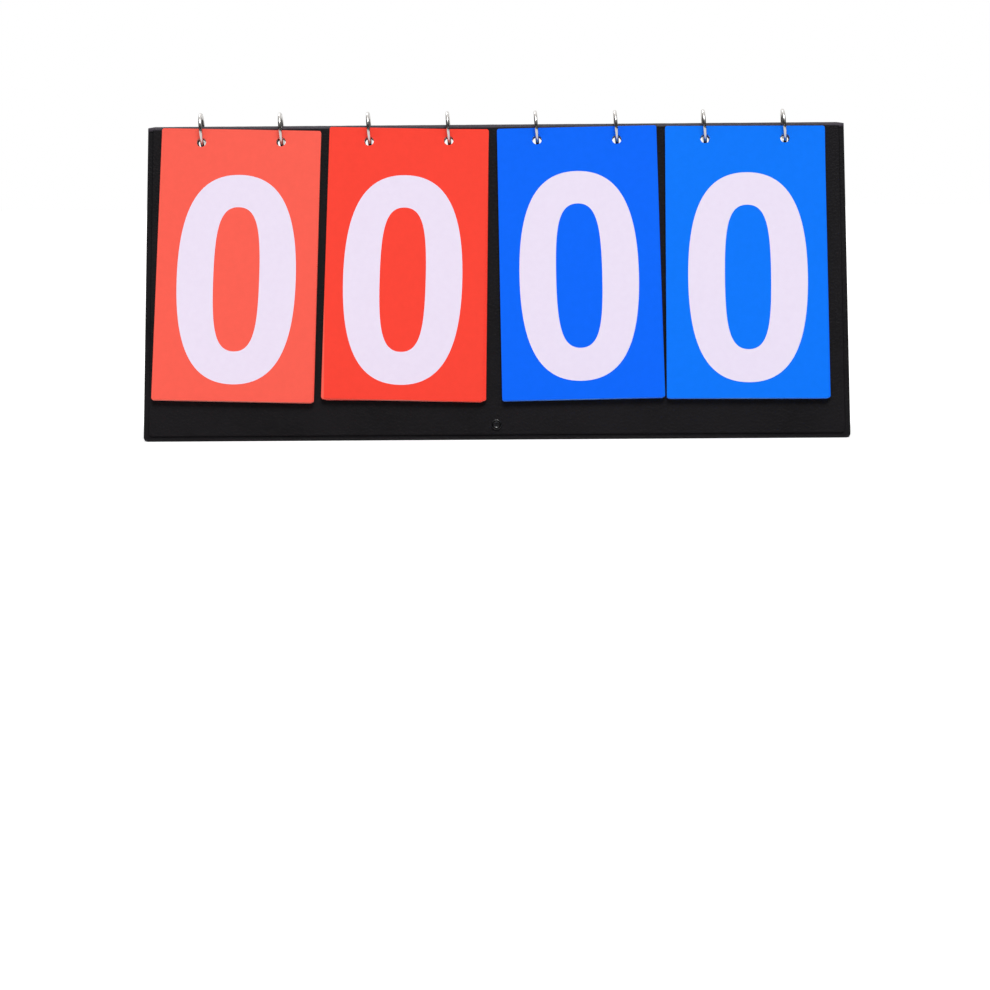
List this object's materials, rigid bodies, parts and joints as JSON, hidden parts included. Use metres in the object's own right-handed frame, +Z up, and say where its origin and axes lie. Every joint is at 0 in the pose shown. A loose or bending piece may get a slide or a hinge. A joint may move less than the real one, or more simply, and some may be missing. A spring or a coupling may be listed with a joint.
{
  "type": "tabletop flip scoreboard",
  "caption": "Tent of black film-covered boards with two red and two blue packs of digit cards that flip over wire rings along its top edge.",
  "frame": {"origin": "on the table, at the middle of the tent's footprint", "axes": "+X to the right as the digits are read, +Y to the rear, +Z up"},
  "size_m": [0.385, 0.1008, 0.1784],
  "materials": {
    "vinyl": "embossed grain, satin",
    "greyboard": "matt",
    "black_enamel": "gloss",
    "bright_plating": "polished",
    "red_card": "satin",
    "blue_card": "satin"
  },
  "bodies": {
    "front_board": {"front_cover_film": "vinyl", "front_greyboard": "greyboard", "top_fold_film": "vinyl", "stud_cap": "black_enamel", "stud_knob": "bright_plating"},
    "back_board": {"back_cover_film": "vinyl", "back_greyboard": "greyboard"},
    "base_board": {"base_cover_film": "vinyl", "base_greyboard": "greyboard"},
    "lip": {"lip_film": "vinyl", "socket_ring": "bright_plating", "socket_cap": "black_enamel"},
    "pack_1": {"card_1_1": "red_card", "card_1_2": "red_card", "card_1_3": "red_card", "card_1_4": "red_card", "card_1_5": "red_card", "card_1_6": "red_card", "card_1_7": "red_card", "card_1_8": "red_card", "card_1_9": "red_card"},
    "front_card_1": {"card_1_0": "red_card"},
    "pack_2": {"card_2_1": "red_card", "card_2_2": "red_card", "card_2_3": "red_card", "card_2_4": "red_card", "card_2_5": "red_card", "card_2_6": "red_card", "card_2_7": "red_card", "card_2_8": "red_card", "card_2_9": "red_card"},
    "front_card_2": {"card_2_0": "red_card"},
    "pack_3": {"card_3_1": "blue_card", "card_3_2": "blue_card", "card_3_3": "blue_card", "card_3_4": "blue_card", "card_3_5": "blue_card", "card_3_6": "blue_card", "card_3_7": "blue_card", "card_3_8": "blue_card", "card_3_9": "blue_card"},
    "front_card_3": {"card_3_0": "blue_card"},
    "pack_4": {"card_4_1": "blue_card", "card_4_2": "blue_card", "card_4_3": "blue_card", "card_4_4": "blue_card", "card_4_5": "blue_card", "card_4_6": "blue_card", "card_4_7": "blue_card", "card_4_8": "blue_card", "card_4_9": "blue_card"},
    "front_card_4": {"card_4_0": "blue_card"},
    "ring_1": {"ring_1": "bright_plating"},
    "ring_2": {"ring_2": "bright_plating"},
    "ring_3": {"ring_3": "bright_plating"},
    "ring_4": {"ring_4": "bright_plating"},
    "ring_5": {"ring_5": "bright_plating"},
    "ring_6": {"ring_6": "bright_plating"},
    "ring_7": {"ring_7": "bright_plating"},
    "ring_8": {"ring_8": "bright_plating"}
  },
  "joints": [
    {"name": "back_board_opens", "type": "hinge", "parent": "front_board", "child": "back_board", "pos_m": [0, -0.00044, 0.16852], "axis": [1, 0, 0], "range_deg": [0, 148], "deforming": ["top_fold_film"]},
    {"name": "base_board_drops", "type": "hinge", "parent": "back_board", "child": "base_board", "pos_m": [0, 0.05038, 0], "axis": [1, 0, 0], "range_deg": [0, 106]},
    {"name": "lip_turns_in", "type": "hinge", "parent": "base_board", "child": "lip", "pos_m": [0, -0.04537, 0.0022], "axis": [-1, 0, 0], "range_deg": [0, 50]},
    {"name": "pack_1_lifts", "type": "hinge", "parent": "front_board", "child": "pack_1", "pos_m": [-0.14045, -0.00044, 0.16852], "axis": [1, 0, 0], "range_deg": [-156, 0]},
    {"name": "front_card_1_flips", "type": "hinge", "parent": "pack_1", "child": "front_card_1", "pos_m": [-0.14045, -0.00044, 0.16852], "axis": [1, 0, 0], "range_deg": [-204, 0]},
    {"name": "pack_2_lifts", "type": "hinge", "parent": "front_board", "child": "pack_2", "pos_m": [-0.04775, -0.00044, 0.16852], "axis": [1, 0, 0], "range_deg": [-156, 0]},
    {"name": "front_card_2_flips", "type": "hinge", "parent": "pack_2", "child": "front_card_2", "pos_m": [-0.04775, -0.00044, 0.16852], "axis": [1, 0, 0], "range_deg": [-204, 0]},
    {"name": "pack_3_lifts", "type": "hinge", "parent": "front_board", "child": "pack_3", "pos_m": [0.04495, -0.00044, 0.16852], "axis": [1, 0, 0], "range_deg": [-156, 0]},
    {"name": "front_card_3_flips", "type": "hinge", "parent": "pack_3", "child": "front_card_3", "pos_m": [0.04495, -0.00044, 0.16852], "axis": [1, 0, 0], "range_deg": [-204, 0]},
    {"name": "pack_4_lifts", "type": "hinge", "parent": "front_board", "child": "pack_4", "pos_m": [0.13765, -0.00044, 0.16852], "axis": [1, 0, 0], "range_deg": [-156, 0]},
    {"name": "front_card_4_flips", "type": "hinge", "parent": "pack_4", "child": "front_card_4", "pos_m": [0.13765, -0.00044, 0.16852], "axis": [1, 0, 0], "range_deg": [-204, 0]},
    {"name": "ring_1_slides_round", "type": "hinge", "parent": "front_board", "child": "ring_1", "pos_m": [-0.16273, -0.00044, 0.1685], "axis": [0.9976, 0, 0.0698], "continuous": true},
    {"name": "ring_2_slides_round", "type": "hinge", "parent": "front_board", "child": "ring_2", "pos_m": [-0.11873, -0.00044, 0.1685], "axis": [0.9976, 0, 0.0698], "continuous": true},
    {"name": "ring_3_slides_round", "type": "hinge", "parent": "front_board", "child": "ring_3", "pos_m": [-0.07003, -0.00044, 0.1685], "axis": [0.9976, 0, 0.0698], "continuous": true},
    {"name": "ring_4_slides_round", "type": "hinge", "parent": "front_board", "child": "ring_4", "pos_m": [-0.02603, -0.00044, 0.1685], "axis": [0.9976, 0, 0.0698], "continuous": true},
    {"name": "ring_5_slides_round", "type": "hinge", "parent": "front_board", "child": "ring_5", "pos_m": [0.02267, -0.00044, 0.1685], "axis": [0.9976, 0, 0.0698], "continuous": true},
    {"name": "ring_6_slides_round", "type": "hinge", "parent": "front_board", "child": "ring_6", "pos_m": [0.06667, -0.00044, 0.1685], "axis": [0.9976, 0, 0.0698], "continuous": true},
    {"name": "ring_7_slides_round", "type": "hinge", "parent": "front_board", "child": "ring_7", "pos_m": [0.11537, -0.00044, 0.1685], "axis": [0.9976, 0, 0.0698], "continuous": true},
    {"name": "ring_8_slides_round", "type": "hinge", "parent": "front_board", "child": "ring_8", "pos_m": [0.15937, -0.00044, 0.1685], "axis": [0.9976, 0, 0.0698], "continuous": true}
  ]
}
